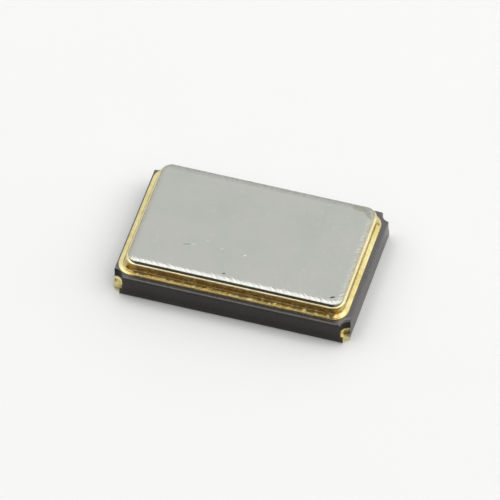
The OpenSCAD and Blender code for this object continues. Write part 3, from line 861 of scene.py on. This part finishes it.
def solder_pad(bm, index):
    """The pad under a corner, cut out round the foot of its hole."""
    sign_x, sign_y = CORNERS[index]
    x, y = hole_centre(index)
    edge_x, edge_y = sign_x * (BODY[0] / 2 - PAD_INSET), sign_y * (BODY[1] / 2 - PAD_INSET)
    far_x, far_y = edge_x - sign_x * PAD[0], edge_y - sign_y * PAD[1]
    radius = FOOT_HOLE - PLATING
    first = math.atan2(edge_y - y, -sign_x * math.sqrt(radius**2 - (edge_y - y) ** 2))
    last = math.atan2(-sign_y * math.sqrt(radius**2 - (edge_x - x) ** 2), edge_x - x)
    points = [(edge_x, far_y), (far_x, far_y), (far_x, edge_y)]
    points += arc((x, y), radius, first, wrapped(last - first))
    verts = [bm.verts.new((px, py, 0.0)) for px, py in points]
    edges = [bm.edges.new(pair) for pair in zip(verts, verts[1:] + verts[:1])]
    face = bmesh.ops.contextual_create(bm, geom=edges)["faces"]
    raised = bmesh.ops.extrude_face_region(bm, geom=face, use_keep_orig=True)["geom"]
    top = [g for g in raised if isinstance(g, bmesh.types.BMVert)]
    bmesh.ops.translate(bm, vec=(0, 0, PAD_TOP), verts=top)


def castellation(index):
    """Plating of a corner hole, and the pad it turns into underneath."""
    bm = bmesh.new()
    hole_plating(bm, index)
    solder_pad(bm, index)
    gold = [TERMINAL_GOLD, TORN_PLATING]
    finish_piece(bm, f"castellation_{index}", [f"terminal_{index}"], gold)


ceramic_body()
sealing_band()
braze_fillet()
sealing_ring()
nickel_lid()
for corner in CORNERS:
    castellation(corner)

# Finishes of the pieces inside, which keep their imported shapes
EPOXY = silver_adhesive()
INNER_FINISHES = {
    "crystal_blank": quartz(),
    "top_electrode": FILM_GOLD,
    "bottom_electrode": FILM_GOLD,
    "rest_pad": TERMINAL_GOLD,
    "oscillator_chip": silicon(),
    "chip_pads": bond_aluminium(),
    "die_attach": EPOXY,
    "die_metallization": TERMINAL_GOLD,
    "adhesive_dot": EPOXY,
    "crystal_pad": TERMINAL_GOLD,
    "lead": TERMINAL_GOLD,
    "bond_wire": WIRE_GOLD,
}

for name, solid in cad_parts.items():
    finish = INNER_FINISHES.get(name) or INNER_FINISHES.get(name.rstrip("0123456789").rstrip("_"))
    if finish:
        solid.data.materials.clear()
        solid.data.materials.append(finish)


# Studio


def softbox(name, azimuth, elevation, width, height, radiance, distance=0.35):
    """A soft panel seen from the part at an angle, with its size in degrees and the light that it gives."""
    a, e = math.radians(azimuth), math.radians(elevation)
    way = Vector((math.sin(a) * math.cos(e), math.cos(a) * math.cos(e), math.sin(e)))
    data = bpy.data.lights.new(name, "AREA")
    data.shape = "RECTANGLE"
    data.size = 2 * distance * math.tan(math.radians(width / 2))
    data.size_y = 2 * distance * math.tan(math.radians(height / 2))
    data.energy = radiance * math.pi * data.size * data.size_y
    lamp = bpy.data.objects.new(name, data)
    lamp.location = way * distance
    lamp.rotation_euler = way.to_track_quat("Z", "Y").to_euler()
    bpy.context.scene.collection.objects.link(lamp)


softbox("back_panel", -5, 30, 68, 56, 0.84)
softbox("back_right_panel", 62, 28, 48, 50, 1.15)
softbox("back_left_panel", -70, 24, 36, 42, 0.6)
softbox("high_panel", -20, 70, 50, 24, 1.8)
softbox("left_panel", -104, 54, 60, 44, 0.95)
softbox("right_panel", 104, 54, 60, 44, 1.45)
softbox("front_fill", 180, 24, 80, 30, 0.14)

world = bpy.data.worlds.new("studio")
bpy.context.scene.world = world
world.use_nodes = True
world.node_tree.nodes["Background"].inputs["Color"].default_value = colour("#ffffff")
world.node_tree.nodes["Background"].inputs["Strength"].default_value = 0.08


def paper():
    """Matt white card under the part: an even white with a hardly visible tooth."""
    mat = blank("white_card")
    place = add(mat, "TexCoord", {}, "Object")
    tooth = add(mat, "TexNoise", {"Vector": place, "Scale": per(1.5), "Detail": 3.0})
    tone = add(
        mat, "Mix", {SHARE: tooth, FROM: colour("#f9f9f8"), TO: colour("#fbfbfa")}, BLEND, data_type="RGBA"
    )
    look = {"Base Color": tone, "Roughness": 0.9, "Specular IOR Level": 0.0}
    add(mat, "OutputMaterial", {"Surface": add(mat, "BsdfPrincipled", look)})
    return mat


# Half the card's side, in metres
CARD_REACH = 0.4

grid = bmesh.new()
bmesh.ops.create_grid(grid, x_segments=1, y_segments=1, size=CARD_REACH)
card_mesh = bpy.data.meshes.new("card")
grid.to_mesh(card_mesh)
grid.free()
card_mesh.materials.append(paper())
floor_card = bpy.data.objects.new("card", card_mesh)
bpy.context.scene.collection.objects.link(floor_card)

bpy.context.scene.view_settings.view_transform = "Standard"

# Camera, from the fit of the package's outline in the photograph
CAMERA_AZIMUTH = math.radians(16.458)
CAMERA_ELEVATION = math.radians(48.792)
CAMERA_DISTANCE = 165.293

back = Vector(
    (
        math.sin(CAMERA_AZIMUTH) * math.cos(CAMERA_ELEVATION),
        -math.cos(CAMERA_AZIMUTH) * math.cos(CAMERA_ELEVATION),
        math.sin(CAMERA_ELEVATION),
    )
)
lens = bpy.data.cameras.new("camera")
lens.sensor_width = 36.0
lens.lens = 581.89
lens.shift_x = -0.003724
lens.shift_y = 0.022262
lens.clip_start = 0.01
lens.clip_end = 2.0
camera = bpy.data.objects.new("camera", lens)
camera.location = (Vector((0, 0, PAD_TOP)) + back * CAMERA_DISTANCE) * MM
camera.rotation_euler = back.to_track_quat("Z", "Y").to_euler()
bpy.context.scene.collection.objects.link(camera)
bpy.context.scene.camera = camera
